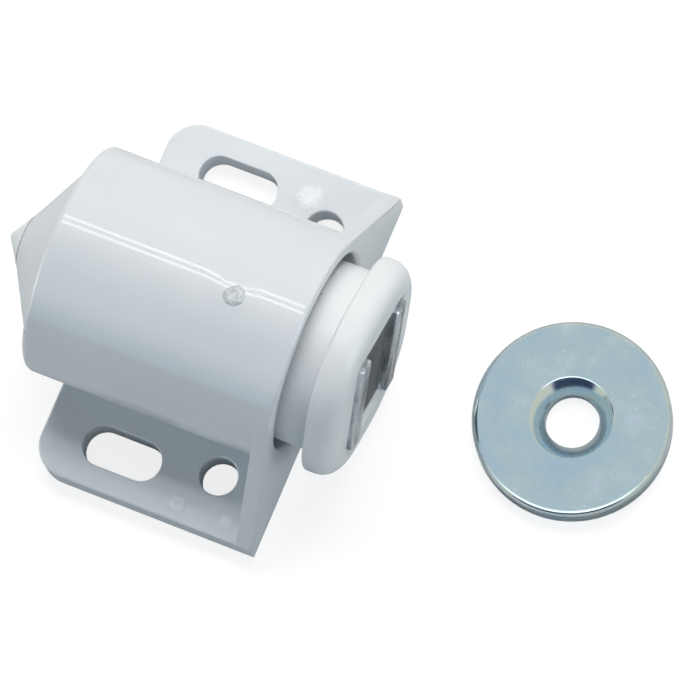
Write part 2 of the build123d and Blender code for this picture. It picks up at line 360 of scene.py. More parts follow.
@dataclass
class Wiring:
    """A node tree, built up from the values that its nodes pass on."""

    tree: bpy.types.NodeTree

    def feed(self, node: bpy.types.Node, inputs: Inputs) -> None:
        """Fills a node's inputs.

        Args:
            node: The node.
            inputs: For each input's name or number, a socket to link or a value to set.
        """
        for place, value in inputs.items():
            if isinstance(value, Socket):
                self.tree.links.new(value, node.inputs[place])
            else:
                node.inputs[place].default_value = value

    def add(self, kind: str, inputs: Inputs, output: str, **settings: str) -> Socket:
        """Adds a node.

        Args:
            kind: The node's kind.
            inputs: What its inputs get.
            output: The output that is passed on.
            settings: The node's own settings.

        Returns:
            The output.
        """
        node = self.tree.nodes.new("ShaderNode" + kind)
        for name, value in settings.items():
            setattr(node, name, value)
        self.feed(node, inputs)
        return node.outputs[output]

    def noise(self, source: Socket, scale: float, detail: float, roughness: float) -> Socket:
        """Adds a noise pattern.

        Args:
            source: The coordinates that it reads.
            scale: Repeats for each metre.
            detail: Octaves.
            roughness: How much the small octaves count.

        Returns:
            The pattern's value, from 0 to 1.
        """
        inputs = {"Vector": source, "Scale": scale, "Detail": detail, "Roughness": roughness}
        return self.add("TexNoise", inputs, "Fac")

    def ramp(self, value: Socket, stops: list[tuple[float, Colour]]) -> Socket:
        """Turns a value into a colour.

        Args:
            value: The value.
            stops: Places from 0 to 1 with their colours.

        Returns:
            The colour.
        """
        colour = self.add("ValToRGB", {"Fac": value}, "Color")
        elements = colour.node.color_ramp.elements
        while len(elements) < len(stops):
            elements.new(0.5)
        for element, (place, shade) in zip(elements, stops):
            element.position = place
            element.color = (*shade, 1.0)
        return colour

    def span(self, value: Socket, low: float, high: float) -> Socket:
        """Maps 0 to 1 onto another range.

        Args:
            value: The value.
            low: What 0 becomes.
            high: What 1 becomes.

        Returns:
            The mapped value.
        """
        return self.add("MapRange", {"Value": value, "To Min": low, "To Max": high}, "Result")

    def faded(self, value: Socket, full: float, none: float) -> Socket:
        """Fades softly from 1 to 0 between two values.

        Args:
            value: The value.
            full: Where the result is 1.
            none: Where it is 0.

        Returns:
            The faded value.
        """
        falls = full < none
        inputs = {
            "Value": value, "From Min": min(full, none), "From Max": max(full, none),
            "To Min": float(falls), "To Max": float(not falls),
        }
        return self.add("MapRange", inputs, "Result", interpolation_type="SMOOTHSTEP")

    def bump(self, height: Socket, distance: float, strength: float, below: Socket | None = None) -> Socket:
        """Adds a bump.

        Args:
            height: The height, from 0 to 1.
            distance: The height in metres that 1 stands for.
            strength: How strong it is.
            below: Another bump that it lies on.

        Returns:
            The normal.
        """
        inputs = {"Height": height, "Distance": distance, "Strength": strength}
        if below is not None:
            inputs["Normal"] = below
        return self.add("Bump", inputs, "Normal")

    def work(self, operation: str, first: Socket, second: Socket | float = 0.0) -> Socket:
        """Does one sum.

        Args:
            operation: Which sum.
            first: The first value.
            second: The second value.

        Returns:
            The result.
        """
        return self.add("Math", {0: first, 1: second}, "Value", operation=operation)

    def times(self, first: Socket, second: Socket | float) -> Socket:
        """Multiplies two values."""
        return self.work("MULTIPLY", first, second)

    def mixed(self, share: Socket, below: Socket, above: Colour | float) -> Socket:
        """Lays one colour or number over another.

        Args:
            share: How much of the upper one shows.
            below: The lower one.
            above: The upper one.

        Returns:
            The mixed colour or number.
        """
        if isinstance(above, float):
            return self.add("Mix", {"Factor": share, "A": below, "B": above}, "Result")
        inputs = {"Factor": share, "A": below, "B": (*above, 1.0)}
        return self.add("Mix", inputs, "Result", data_type="RGBA")


@dataclass(frozen=True)
class Finish:
    """What every finish has."""

    name: str

    def inputs(self, nodes: Wiring, place: Socket) -> Inputs:
        """Works out what the material's shader gets.

        Args:
            nodes: The material's nodes.
            place: The piece's own coordinates, in metres.

        Returns:
            A socket or a value for each of the shader's inputs.
        """
        raise NotImplementedError

    def make(self) -> bpy.types.Material:
        """Builds the material.

        Returns:
            The material.
        """
        material = bpy.data.materials.new(self.name)
        material.use_nodes = True
        nodes = Wiring(material.node_tree)
        inputs = self.inputs(nodes, nodes.add("TexCoord", {}, "Object"))
        nodes.feed(nodes.tree.nodes["Principled BSDF"], inputs)
        return material


@dataclass(frozen=True)
class Mark:
    """A round trace of the mould: a raised ring, a low mound round it, a scuff in it, or a dark speck."""

    at: Place
    radius: float
    width: float
    height: float
    mound_radius: float = 0.0
    mound_height: float = 0.0
    share: float = 0.0
    shade: Colour = (0.05, 0.06, 0.07)
    scuff: float = 0.0
    wobble: float = 0.45 * MM
    wobble_scale: float = 800.0
    scuff_scale: float = 1100.0

    def press(self, nodes: Wiring, place: Socket, normal: Socket) -> tuple[Socket, Socket]:
        """Presses the mark into the skin.

        Args:
            nodes: The material's nodes.
            place: The piece's coordinates.
            normal: The bump below.

        Returns:
            The new normal, and where the mark's shade lies.
        """
        away = nodes.add("VectorMath", {0: place, 1: self.at}, "Value", operation="DISTANCE")
        if self.scuff > 0:
            wave = nodes.noise(place, self.wobble_scale, 2.0, 0.6)
            away = nodes.work("ADD", away, nodes.span(wave, -self.wobble, self.wobble))
        off = nodes.work("ABSOLUTE", nodes.work("SUBTRACT", away, self.radius))
        ring = nodes.faded(off, 0.0, self.width)
        if self.mound_height > 0:
            normal = nodes.bump(nodes.faded(away, 0.0, self.mound_radius), self.mound_height, 1.0, normal)
        if self.height > 0:
            normal = nodes.bump(ring, self.height, 1.0, normal)
        if self.scuff > 0:
            inside = nodes.faded(away, 0.6 * self.radius, self.radius + self.width)
            rough = nodes.times(nodes.noise(place, self.scuff_scale, 3.0, 0.7), inside)
            normal = nodes.bump(rough, self.scuff, 1.0, normal)
            ring = nodes.work("MAXIMUM", ring, nodes.faded(rough, 0.62, 0.5))
        return normal, ring


@dataclass(frozen=True)
class MouldedPlastic(Finish):
    """An injection-moulded plastic: cloudy colour, faint flow marks, a fine skin and the mould's marks,
    some with painted shade and some with a painted highlight in their colour.
    """

    light: Colour
    dark: Colour
    roughness: tuple[float, float]
    coat: float
    coat_roughness: float
    cloud_scale: float = 130.0
    speck_scale: float = 900.0
    flow_scale: float = 60.0
    flow_depth: float = 0.03 * MM
    skin_scale: float = 2600.0
    skin_depth: float = 0.004 * MM
    coat_index: float = 1.5
    marks: tuple[Mark, ...] = ()

    def inputs(self, nodes: Wiring, place: Socket) -> Inputs:
        """Works out what the material's shader gets, as in Finish."""
        speck = nodes.noise(place, self.speck_scale, 2.0, 0.4)
        cloud = nodes.noise(place, self.cloud_scale, 4.0, 0.55)
        colour = nodes.ramp(cloud, [(0.3, self.dark), (0.7, self.light)])
        normal = nodes.bump(nodes.noise(place, self.flow_scale, 2.0, 0.5), self.flow_depth, 0.35)
        for mark in self.marks:
            normal, ring = mark.press(nodes, place, normal)
            # Lays each mark's shade into the colour: real colour on the dark specks, painted shade on the
            # gate ring, painted highlight on the ejector marks.
            if mark.share > 0:
                colour = nodes.mixed(nodes.times(ring, mark.share), colour, mark.shade)
        skin = nodes.noise(place, self.skin_scale, 2.0, 0.5)
        return {
            "Base Color": colour, "Roughness": nodes.span(speck, *self.roughness),
            "Coat Weight": self.coat, "Coat Roughness": self.coat_roughness, "Coat IOR": self.coat_index,
            "Normal": nodes.bump(skin, self.skin_depth, 0.5, normal), "Coat Normal": normal,
        }


@dataclass(frozen=True)
class PlatedSteel(Finish):
    """Zinc-plated steel: patches of different hue, drawn or even, a fine grain and bright specks."""

    tints: tuple[Colour, ...]
    patch_scale: float
    spread: float
    roughness: tuple[float, float]
    grain_scale: float
    grain_depth: float
    specks: float = 1.0
    streak: float = 1.0
    streak_turn: float = 0.0
    cluster_scale: float = 230.0
    speck_scale: float = 4000.0
    speck_colour: Colour = (0.97, 0.98, 1.0)
    wave_scale: float = 420.0
    wave_depth: float = 0.02 * MM

    def inputs(self, nodes: Wiring, place: Socket) -> Inputs:
        """Works out what the material's shader gets, as in Finish."""
        turn = (math.radians(self.streak_turn), 0.0, 0.0)
        drawn = {"Vector": place, "Rotation": turn, "Scale": (1.0, self.streak, 1.0)}
        streaks = nodes.add("Mapping", drawn, "Vector", vector_type="TEXTURE")
        first, step = 0.5 - self.spread, 2 * self.spread / (len(self.tints) - 1)
        stops = [(first + step * k, tint) for k, tint in enumerate(self.tints)]
        colour = nodes.ramp(nodes.noise(streaks, self.patch_scale, 5.0, 0.62), stops)
        clusters = nodes.faded(nodes.noise(place, self.cluster_scale, 1.0, 0.5), 0.58, 0.48)
        dots = nodes.times(nodes.faded(nodes.noise(place, self.speck_scale, 0.0, 0.5), 0.8, 0.72), clusters)
        fine = nodes.noise(place, self.grain_scale, 4.0, 0.65)
        wave = nodes.noise(place, self.wave_scale, 2.0, 0.5)
        return {
            "Metallic": 1.0,
            "Base Color": nodes.mixed(nodes.times(dots, self.specks), colour, self.speck_colour),
            "Roughness": nodes.span(fine, *self.roughness),
            "Normal": nodes.bump(wave, self.wave_depth, 0.4, nodes.bump(fine, self.grain_depth, 0.6)),
        }


@dataclass(frozen=True)
class Ferrite(Finish):
    """A dull, pressed ceramic magnet, nearly black, with a coarse grain."""

    dark: Colour = (0.055, 0.058, 0.062)
    light: Colour = (0.12, 0.125, 0.135)
    roughness: tuple[float, float] = (0.45, 0.75)
    grain_scale: float = 1500.0
    cloud_scale: float = 300.0
    grain_depth: float = 0.05 * MM

    def inputs(self, nodes: Wiring, place: Socket) -> Inputs:
        """Works out what the material's shader gets, as in Finish."""
        grain = nodes.noise(place, self.grain_scale, 5.0, 0.7)
        cloud = nodes.noise(place, self.cloud_scale, 4.0, 0.6)
        return {
            "Base Color": nodes.ramp(cloud, [(0.3, self.dark), (0.7, self.light)]),
            "Roughness": nodes.span(grain, *self.roughness),
            "Normal": nodes.bump(grain, self.grain_depth, 0.6),
        }


@dataclass(frozen=True)
class WhiteGround(Finish):
    """A plain floor that reads white to the camera and keeps the soft shadow."""

    colour: Colour = (0.6, 0.61, 0.62)
    shadow: float = 0.3
    glow: float = 0.8
    roughness: float = 0.9

    def inputs(self, nodes: Wiring, place: Socket) -> Inputs:
        """Works out what the material's shader gets, as in Finish, and what the camera sees instead."""
        shaded = nodes.add("BsdfDiffuse", {"Color": white(self.shadow)}, "BSDF")
        lit = nodes.add("Emission", {"Color": white(), "Strength": self.glow}, "Emission")
        seen = nodes.add("AddShader", {0: shaded, 1: lit}, "Shader")
        plain = nodes.tree.nodes["Principled BSDF"].outputs["BSDF"]
        ray = nodes.add("LightPath", {}, "Is Camera Ray")
        look = nodes.add("MixShader", {"Fac": ray, 1: plain, 2: seen}, "Shader")
        nodes.feed(nodes.tree.nodes["Material Output"], {"Surface": look})
        return {"Base Color": (*self.colour, 1.0), "Roughness": self.roughness}


# The latch

FLANGE_TOP = 3.2 * MM
BARREL_TOP = 24.4 * MM
# Painted highlight: the white that the ejector marks' colour is lightened towards, where the scuffed
# plastic catches the light.
PAINTED_HIGHLIGHT_WHITE = (0.95, 0.96, 0.97)
GATE_MARKS = (
    # The gate ring's dark share is painted shade along the ring, where its own relief falls into shade.
    Mark(
        (-1.5 * MM, -0.1 * MM, BARREL_TOP), 0.98 * MM, 0.17 * MM, 0.03 * MM,
        mound_radius=2.6 * MM, mound_height=0.06 * MM, share=0.22, scuff=0.4 * MM,
    ),
    Mark((-1.2 * MM, 0.05 * MM, BARREL_TOP), 0.0, 0.35 * MM, 0.0, share=0.3),
    Mark(
        (-3.0 * MM, 0.5 * MM, BARREL_TOP), 0.0, 0.1 * MM, 0.0,
        mound_radius=2.2 * MM, mound_height=0.03 * MM,
    ),
)
# Ejector marks: real rings, mounds and scuffs in relief, with a painted highlight laid into their colour.
EJECTOR_MARKS = (
    Mark(
        (-2.8 * MM, -18.1 * MM, FLANGE_TOP), 0.7 * MM, 0.4 * MM, 0.02 * MM,
        mound_radius=2.0 * MM, mound_height=0.02 * MM, share=0.5, shade=PAINTED_HIGHLIGHT_WHITE, scuff=0.2 * MM,
    ),
    Mark(
        (2.5 * MM, -18.3 * MM, FLANGE_TOP), 0.0, 1.0 * MM, 0.01 * MM,
        mound_radius=1.8 * MM, mound_height=0.02 * MM, share=0.35, shade=PAINTED_HIGHLIGHT_WHITE, scuff=0.1 * MM,
    ),
    Mark(
        (-2.7 * MM, 16.2 * MM, FLANGE_TOP), 0.0, 1.7 * MM, 0.02 * MM,
        mound_radius=2.4 * MM, mound_height=0.02 * MM, share=0.4, shade=PAINTED_HIGHLIGHT_WHITE, scuff=0.1 * MM,
    ),
)
DARK_SPECKS = (
    Mark((-7.0 * MM, -11.7 * MM, FLANGE_TOP), 0.0, 0.16 * MM, 0.0, share=0.4),
    Mark((-21.0 * MM, -10.2 * MM, 18.85 * MM), 0.0, 0.3 * MM, 0.0, share=0.5),
)
HOUSING_MARKS = (*GATE_MARKS, *EJECTOR_MARKS, *DARK_SPECKS)
PLUNGER_MARKS = (Mark((5.9 * MM, 3.95 * MM, 21.0 * MM), 0.0, 0.2 * MM, 0.0, share=0.5),)

FINISHES: dict[Slot, Finish] = {
    Slot.HOUSING: MouldedPlastic(
        "housing_gloss", light=(0.70, 0.735, 0.765), dark=(0.675, 0.71, 0.742), roughness=(0.34, 0.42),
        coat=0.6, coat_roughness=0.06, marks=HOUSING_MARKS,
    ),
    Slot.PLUNGER: MouldedPlastic(
        "plunger_satin", light=(0.785, 0.805, 0.82), dark=(0.75, 0.775, 0.795), roughness=(0.36, 0.48),
        coat=0.2, coat_roughness=0.18, marks=PLUNGER_MARKS,
    ),
    Slot.INNER: MouldedPlastic(
        "inner_acetal", light=(0.78, 0.78, 0.76), dark=(0.74, 0.74, 0.72), roughness=(0.4, 0.5),
        coat=0.1, coat_roughness=0.2,
    ),
    Slot.MAGNET: Ferrite("ferrite_magnet"),
    Slot.POLE: PlatedSteel(
        "pole_zinc", ((0.2, 0.22, 0.235), (0.45, 0.48, 0.5), (0.66, 0.69, 0.71), (0.92, 0.94, 0.96)),
        patch_scale=950.0, spread=0.17, roughness=(0.2, 0.4), grain_scale=1500.0, grain_depth=0.04 * MM,
        specks=0.6, streak=6.0, streak_turn=60.0,
    ),
    Slot.DISC: PlatedSteel(
        "disc_zinc", ((0.57, 0.68, 0.78), (0.62, 0.72, 0.76), (0.66, 0.74, 0.735), (0.74, 0.8, 0.83)),
        patch_scale=230.0, spread=0.18, roughness=(0.1, 0.2), grain_scale=2200.0, grain_depth=0.008 * MM,
        specks=0.7,
    ),
    Slot.SPRING: PlatedSteel(
        "spring_wire", ((0.4, 0.4, 0.42), (0.5, 0.5, 0.52)),
        patch_scale=90.0, spread=0.2, roughness=(0.25, 0.4), grain_scale=1400.0, grain_depth=0.02 * MM,
        specks=0.0,
    ),
}


def dress(piece: Piece, material: bpy.types.Material) -> None:
    """Gives a piece one material.

    Args:
        piece: The piece.
        material: Its finish.
    """
    piece.data.materials.clear()
    piece.data.materials.append(material)


AXIS_Z = 12.2 * MM
ALONG = Vector((1, 0, 0))
LATCH_MIDDLE = Vector((0.005, 0, 0.01))


def axis_point(x: float) -> Vector:
    """The point of the barrel's axis at x, in metres."""
    return Vector((x, 0, AXIS_Z))


@dataclass
class Housing:
    """The moulding: barrel, flanged base and front web."""

    flange_width: float = 40.0 * MM
    flange_length: float = 25.0 * MM
    flange_thick: float = 3.2 * MM
    front_x: float = 6.1 * MM
    barrel_r: float = 12.2 * MM
    barrel_length: float = 27.4 * MM
    bore_r: float = 10.9 * MM
    lip_thick: float = 1.65 * MM
    mouth_r: float = 10.55 * MM
    mouth_round: float = 0.5 * MM
    rear_round: float = 0.7 * MM
    web_thick: float = 1.65 * MM
    web_round: float = 0.45 * MM
    root_round: float = 0.5 * MM
    corner_r: float = 3.5 * MM
    edge_round: float = 0.3 * MM
    hole_r: float = 2.0 * MM
    hole_spacing: float = 28.0 * MM
    slot_width: float = 4.3 * MM
    slot_length: float = 8.6 * MM
    slot_setback: float = 16.35 * MM
    slot_spacing: float = 30.8 * MM
    slot_window: tuple[float, float] = (4.5 * MM, 2.3 * MM)
    hole_edge: float = 0.12 * MM
    crown_sink: float = 0.05 * MM
    crown_slack: float = 0.01 * MM
    web_slack: float = 0.2 * MM
    turn_steps: int = 192

    def base(self) -> Piece:
        """Models the flanged base with its rounded rear corners and edges.

        Returns:
            The base plate.
        """
        middle = (self.front_x - self.flange_length / 2, 0, self.flange_thick / 2)
        plate = box("base_plate", middle, (self.flange_length, self.flange_width, self.flange_thick))
        rear = self.front_x - self.flange_length
        front, top = self.front_x, self.flange_thick

        def on_rear_corner(a: Vector, b: Vector) -> bool:
            """Whether an edge stands upright at the rear."""
            return max(abs(a.x - rear), abs(b.x - rear)) < TOUCH and abs(a.z - b.z) > 0.1 * MM

        def on_top_rim(a: Vector, b: Vector) -> bool:
            """Whether an edge bounds the upper face, apart from the front one."""
            return max(abs(a.z - top), abs(b.z - top)) < TOUCH and min(a.x, b.x) <= front - TOUCH

        round_edges(plate, on_rear_corner, self.corner_r, 20)
        round_edges(plate, on_top_rim, self.edge_round, 5)
        return plate

    def tangent(self) -> float:
        """The angle round the barrel at which the web's straight side meets its crown.

        Returns:
            The angle above the horizontal, in degrees.
        """
        across, up = self.flange_width / 2, self.flange_thick - AXIS_Z
        crown_r = self.barrel_r - self.crown_sink
        return math.degrees(math.atan2(up, across) + math.acos(crown_r / math.hypot(across, up)))

    def web(self) -> Piece:
        """Models the thin front web, whose sides run from the flange corners onto the barrel's rim.

        Returns:
            The web.
        """
        half = self.flange_width / 2
        crown_r = self.barrel_r - self.crown_sink
        tangent = self.tangent()
        back = self.front_x - self.web_thick
        side, up = Vector((0, crown_r, 0)), Vector((0, 0, crown_r))
        crown = arc(axis_point(back), side, up, tangent, 180 - tangent, 40)
        outline = [
            Vector((back, half, 0)), Vector((back, half, self.flange_thick)), *crown,
            Vector((back, -half, self.flange_thick)), Vector((back, -half, 0)),
        ]
        return prism("front_web", outline, Vector((self.web_thick, 0, 0)))

    def root(self) -> Piece:
        """Models the small hollow rounding between the web and the flanges.

        Returns:
            The rounding strip.
        """
        back = self.front_x - self.web_thick
        r = self.root_round
        reach = self.flange_width / 2 - r
        centre = Vector((back - r, -reach, self.flange_thick + r))
        hollow = arc(centre, Vector((r, 0, 0)), Vector((0, 0, -r)), 0, 90, 6)
        over = 0.2 * MM
        corner = Vector((back + over, -reach, self.flange_thick - over))
        outline = [hollow[0] + Vector((over, 0, 0)), *hollow, hollow[-1] - Vector((0, 0, over)), corner]
        return prism("web_root", outline, Vector((0, 2 * reach, 0)))

    def barrel(self) -> Piece:
        """Turns the barrel as a plain bar, to be bored later.

        Returns:
            The bar.
        """
        rear = self.front_x - self.barrel_length
        r = self.rear_round
        round_rear = quarter((r, self.barrel_r - r), -r, r, 8)
        length = self.barrel_length
        profile = [(0.0, 0.0), *reversed(round_rear), (length, self.barrel_r), (length, 0.0)]
        return turned("barrel", profile, axis_point(rear), ALONG, self.turn_steps)

    def bore(self) -> Piece:
        """Turns the tool that bores the barrel and opens its rounded mouth.

        Returns:
            The boring tool.
        """
        rear = self.front_x - self.barrel_length
        lip = self.barrel_length - self.lip_thick
        over, r = CUT_OVER, self.mouth_round
        flare = quarter((self.barrel_length - r, self.mouth_r + r), r, -r, 6)
        profile = [
            (-over, 0.0), (-over, self.bore_r), (lip, self.bore_r), (lip, self.mouth_r), *flare,
            (self.barrel_length + over, self.mouth_r + r), (self.barrel_length + over, 0.0),
        ]
        return turned("bore_tool", profile, axis_point(rear), ALONG, self.turn_steps)

    def hole_tool(self, x: float, y: float) -> Piece:
        """Makes the tool for one round screw hole.

        Args:
            x: The hole's place along the barrel.
            y: The hole's place across the flanges.

        Returns:
            The tool.
        """
        t, e, over = self.flange_thick, self.hole_edge, CUT_OVER
        profile = [
            (-over, 0.0), (-over, self.hole_r), (t - e, self.hole_r),
            (t, self.hole_r + e), (t + over, self.hole_r + e), (t + over, 0.0),
        ]
        return turned("hole_tool", profile, Vector((x, y, 0)), Vector((0, 0, 1)), 96)

    def slot_tool(self, x: float, y: float) -> Piece:
        """Makes the tool for one slot.

        Args:
            x: The slot's middle along the barrel.
            y: The slot's middle across the flanges.

        Returns:
            The tool.
        """
        r = self.slot_width / 2
        half = self.slot_length / 2 - r
        low = -CUT_OVER
        right = arc(Vector((x + half, y, low)), Vector((0, -r, 0)), Vector((r, 0, 0)), 0, 180, 32)
        left = arc(Vector((x - half, y, low)), Vector((0, r, 0)), Vector((-r, 0, 0)), 0, 180, 32)
        return prism("slot_tool", right + left, Vector((0, 0, self.flange_thick - low + CUT_OVER)))

    def build(self) -> Piece:
        """Joins, bores and drills the moulding, and rounds its edges.

        Returns:
            The finished moulding.
        """
        moulding = self.base()
        for bar in (self.web, self.root, self.barrel):
            apply_boolean(moulding, bar(), Cut.JOIN)
        apply_boolean(moulding, self.bore(), Cut.REMOVE)
        for side in (-1, 1):
            apply_boolean(moulding, self.hole_tool(0.0, side * self.hole_spacing / 2), Cut.REMOVE)
            slot = self.slot_tool(self.front_x - self.slot_setback, side * self.slot_spacing / 2)
            apply_boolean(moulding, slot, Cut.REMOVE)
        front, top = self.front_x, self.flange_thick

        def across(a: Vector, b: Vector) -> float:
            """How far apart two ends are, seen from the front."""
            return abs(a.z - b.z) + abs(a.y - b.y)

        def on_rim(a: Vector, b: Vector) -> bool:
            """Whether an edge lies on the front face's outer outline, above the flanges."""
            if min(a.x, b.x) < front - TOUCH or min(a.z, b.z) < top - TOUCH or across(a, b) < TOUCH / 10:
                return False
            reach = [math.hypot(v.y, v.z - AXIS_Z) for v in (a, b)]
            rise = math.degrees(math.atan2(a.z + b.z - 2 * AXIS_Z, abs(a.y + b.y)))
            if max(reach) < self.barrel_r + self.crown_slack:
                return min(reach) > self.barrel_r - self.crown_slack and rise > self.tangent()
            return min(reach) > self.barrel_r - self.web_slack

        round_edges(moulding, on_rim, self.web_round, 6)

        def on_slot(a: Vector, b: Vector) -> bool:
            """Whether an edge lies on the upper rim of a slot."""
            middle = Vector((front - self.slot_setback, math.copysign(self.slot_spacing / 2, a.y), top))
            along, aside = self.slot_window
            near = all(abs(v.x - middle.x) < along and abs(v.y - middle.y) < aside for v in (a, b))
            return near and max(abs(a.z - top), abs(b.z - top)) < TOUCH

        round_edges(moulding, on_slot, self.hole_edge, 3)
        rename(moulding, "housing_moulding")
        smooth(moulding, 32.0)
        return moulding


@dataclass
class EndCap:
    """The cone that plugs the barrel's rear end."""

    rear_x: float = -21.3 * MM
    reach: float = 4.9 * MM
    spigot_r: float = 10.85 * MM
    lead: float = 0.8 * MM
    lead_depth: float = 0.4 * MM
    cone_length: float = 4.82 * MM
    cone_end_r: float = 2.8 * MM
    hole_r: float = 2.0 * MM
    inner_r: float = 9.4 * MM
    wall: float = 1.3 * MM
    inner_step: float = 0.4 * MM
    edge: float = 0.15 * MM

    def build(self) -> Piece:
        """Turns the cone with its spigot.

        Returns:
            The finished cap.
        """
        e = self.edge
        slope = (self.spigot_r - self.cone_end_r) / self.cone_length
        profile = [
            (self.reach, self.inner_r), (self.reach, self.spigot_r - self.lead_depth),
            (self.reach - self.lead, self.spigot_r), (e, self.spigot_r), (0.0, self.spigot_r - e * 0.3),
            (-e, self.spigot_r - e * slope), (-self.cone_length + e, self.cone_end_r + e * slope),
            (-self.cone_length, self.cone_end_r - e * 0.3), (-self.cone_length, self.hole_r),
            (-self.cone_length + self.wall, self.hole_r), (self.inner_step, self.inner_r),
        ]
        cap = turned("end_cone", profile, axis_point(self.rear_x), ALONG, 160)
        smooth(cap, 28.0)
        return cap


@dataclass
class Plunger:
    """The sliding plunger: collar, neck and the thick rounded-square head with its pocket."""

    collar_rear_x: float = -10.9 * MM
    collar_front_x: float = -3.9 * MM
    collar_r: float = 10.82 * MM
    neck_r: float = 9.64 * MM
    seat_r: float = 8.9 * MM
    seat_x: float = -6.4 * MM
    sleeve_r: float = 8.0 * MM
    sleeve_floor_x: float = 5.0 * MM
    head_back_x: float = 9.2 * MM
    head_front_x: float = 12.5 * MM
    head_half: float = 10.8 * MM
    head_corner_r: float = 9.0 * MM
    front_round: float = 2.2 * MM
    back_round: float = 0.3 * MM
    turn: float = 60.0
    pocket_floor_x: float = 6.6 * MM
    pocket_width: float = 12.2 * MM
    pocket_height: float = 11.5 * MM
    pocket_corner: float = 0.4 * MM
    pocket_lead: float = 0.45 * MM
    stack_width: float = 12.0 * MM
    magnet_thick: float = 7.0 * MM
    magnet_front_x: float = 12.0 * MM
    magnet_edge: float = 0.2 * MM
    plate_thick: float = 2.15 * MM
    plate_front_x: float = 13.0 * MM
    plate_edge: float = 0.28 * MM
    plate_dish: float = 0.1 * MM
    dish_rim: float = 0.14
    dish_slope: float = 0.12
    collar_edge: float = 0.12 * MM
    overlap: float = 1.0 * MM

    def turn_in_place(self, piece: Piece) -> None:
        """Turns a piece about the barrel's axis to the head's angle.

        Args:
            piece: The piece, modelled square.
        """
        turn = Matrix.Rotation(math.radians(self.turn), 4, "X")
        piece.data.transform(Matrix.Translation(axis_point(0)) @ turn @ Matrix.Translation(-axis_point(0)))

    def head(self) -> Piece:
        """Models the head from a block: round corners, a full front edge and a small back edge.

        Returns:
            The head, turned to its angle.
        """
        middle = axis_point((self.head_front_x + self.head_back_x) / 2)
        side = 2 * self.head_half
        head = box("plunger_head", middle, (self.head_front_x - self.head_back_x, side, side))
        round_edges(head, runs_along, self.head_corner_r, 26)
        round_edges(head, lambda a, b: min(a.x, b.x) > self.head_front_x - TOUCH, self.front_round, 12)
        round_edges(head, lambda a, b: max(a.x, b.x) < self.head_back_x + TOUCH, self.back_round, 4)
        self.turn_in_place(head)
        return head

    def body(self) -> Piece:
        """Turns the neck and the collar with the hollow for the rotor and the spindle.

        Returns:
            The turned body.
        """
        c = self.collar_rear_x
        e = self.collar_edge
        profile = [
            (0.0, self.seat_r), (0.0, self.collar_r - e), (e, self.collar_r),
            (self.collar_front_x - c - e, self.collar_r), (self.collar_front_x - c, self.collar_r - e),
            (self.collar_front_x - c, self.neck_r), (self.head_back_x - c + self.overlap, self.neck_r),
            (self.head_back_x - c + self.overlap, 0.0), (self.sleeve_floor_x - c, 0.0),
            (self.sleeve_floor_x - c, self.sleeve_r), (self.seat_x - c, self.sleeve_r),
            (self.seat_x - c, self.seat_r),
        ]
        return turned("plunger_body", profile, axis_point(c), ALONG, 160)

    def pocket(self) -> Piece:
        """Makes the tool for the magnet's pocket.

        Returns:
            The tool.
        """
        depth = 4 * CUT_OVER + self.head_front_x - self.pocket_floor_x
        middle = axis_point(self.pocket_floor_x + depth / 2)
        tool = box("pocket_tool", middle, (depth, self.pocket_width, self.pocket_height))
        round_edges(tool, runs_along, self.pocket_corner, 5)
        self.turn_in_place(tool)
        return tool

    def build(self) -> Piece:
        """Joins the head to the body and cuts the pocket.

        Returns:
            The finished plunger.
        """
        plunger = self.head()
        apply_boolean(plunger, self.body(), Cut.JOIN)
        apply_boolean(plunger, self.pocket(), Cut.REMOVE)
        reach = math.hypot(self.pocket_width, self.pocket_height) / 2 + 0.1 * MM

        def on_pocket(a: Vector, b: Vector) -> bool:
            """Whether an edge lies on the pocket's mouth."""
            near = all(math.hypot(v.y, v.z - AXIS_Z) < reach for v in (a, b))
            return near and min(a.x, b.x) > self.head_front_x - TOUCH

        round_edges(plunger, on_pocket, self.pocket_lead, 1)
        rename(plunger, "magnet_plunger")
        smooth(plunger, 32.0)
        return plunger

    def block(
        self, name: str, thick: float, front: float, offset: float, edge: float, dish: float
    ) -> Piece:
        """Models one block of the magnet's stack, with worn edges and, on a sheared plate, a dished front.

        Args:
            name: The piece's name.
            thick: Its short side across the head.
            front: Where it ends along the barrel.
            offset: How far it stands from the axis, along the stack.
            edge: The rounding of its edges.
            dish: How far the front face's middle is sunk.

        Returns:
            The finished block.
        """
        rear, width = self.pocket_floor_x, self.stack_width
        middle = axis_point((rear + front) / 2) + Vector((0, 0, offset))
        piece = box(name, middle, (front - rear, width, thick))
        with editing(piece):
            bpy.ops.mesh.bevel(offset=edge, segments=4, affect="EDGES")
        if dish > 0:
            bpy.ops.object.mode_set(mode="EDIT")
            bpy.ops.mesh.select_mode(type="FACE")
            bpy.ops.mesh.select_all(action="DESELECT")
            bpy.ops.object.mode_set(mode="OBJECT")
            for face in piece.data.polygons:
                face.select = face.normal.x > 0.999 and face.area > 0.2 * width * thick
            bpy.ops.object.mode_set(mode="EDIT")
            bpy.ops.mesh.inset(thickness=thick * self.dish_rim)
            bpy.ops.mesh.inset(thickness=thick * self.dish_slope, depth=-dish)
            bpy.ops.object.mode_set(mode="OBJECT")
        self.turn_in_place(piece)
        smooth(piece, 40.0)
        return piece

    def magnet(self) -> Piece:
        """Models the magnet between its plates.

        Returns:
            The finished magnet.
        """
        thick, edge = self.magnet_thick, self.magnet_edge
        return self.block("ferrite_block", thick, self.magnet_front_x, 0.0, edge, 0.0)

    def pole(self, name: str, side: float) -> Piece:
        """Models one pole plate.

        Args:
            name: The piece's name.
            side: Which side of the magnet it lies on, 1 or -1.

        Returns:
            The finished plate.
        """
        thick, edge = self.plate_thick, self.plate_edge
        offset = side * (self.magnet_thick + thick) / 2
        return self.block(name, thick, self.plate_front_x, offset, edge, self.plate_dish)


